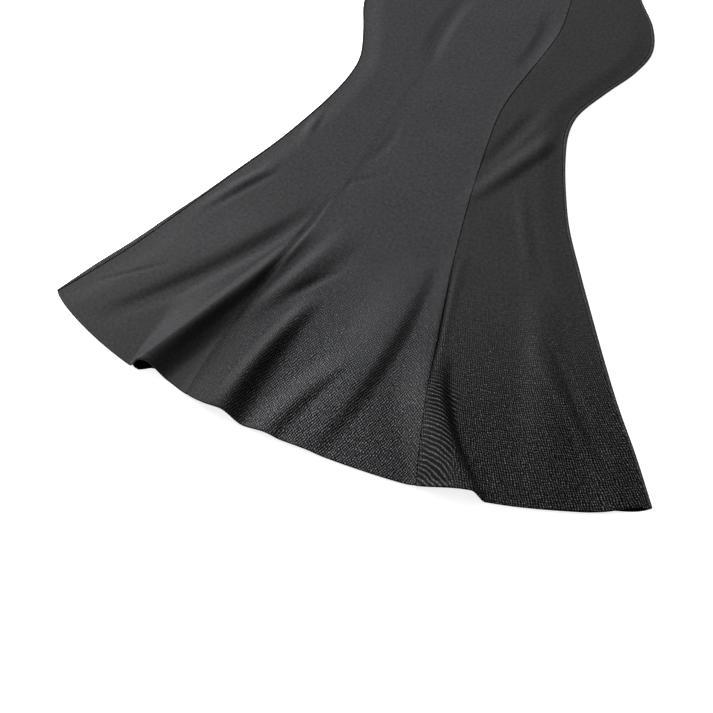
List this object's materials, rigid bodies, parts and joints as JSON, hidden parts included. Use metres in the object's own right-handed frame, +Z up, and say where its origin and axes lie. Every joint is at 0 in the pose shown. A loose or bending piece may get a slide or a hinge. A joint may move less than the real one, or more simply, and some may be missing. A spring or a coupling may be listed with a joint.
{
  "type": "mermaid fishtail skirt",
  "caption": "Dark twill fishtail skirt in flared gores with a plain waistband, laid flat with its hem standing up in soft flutes.",
  "frame": {"origin": "bottom centre of the flat skirt, on the surface it lies on", "axes": "+Z up out of the surface, +Y from the hem to the waist along the skirt, +X to the right of the front"},
  "size_m": [0.7998, 1.0204, 0.0253],
  "materials": {
    "twill_front": "soft matt charcoal-black twill with a faint sheen",
    "twill_back": "the same twill on the back gores",
    "twill_band": "the same twill folded double"
  },
  "bodies": {
    "root": {"front_left": "twill_front", "front_centre": "twill_front", "front_right": "twill_front", "back_left": "twill_back", "back_centre": "twill_back", "back_right": "twill_back", "waistband": "twill_band"}
  },
  "joints": []
}
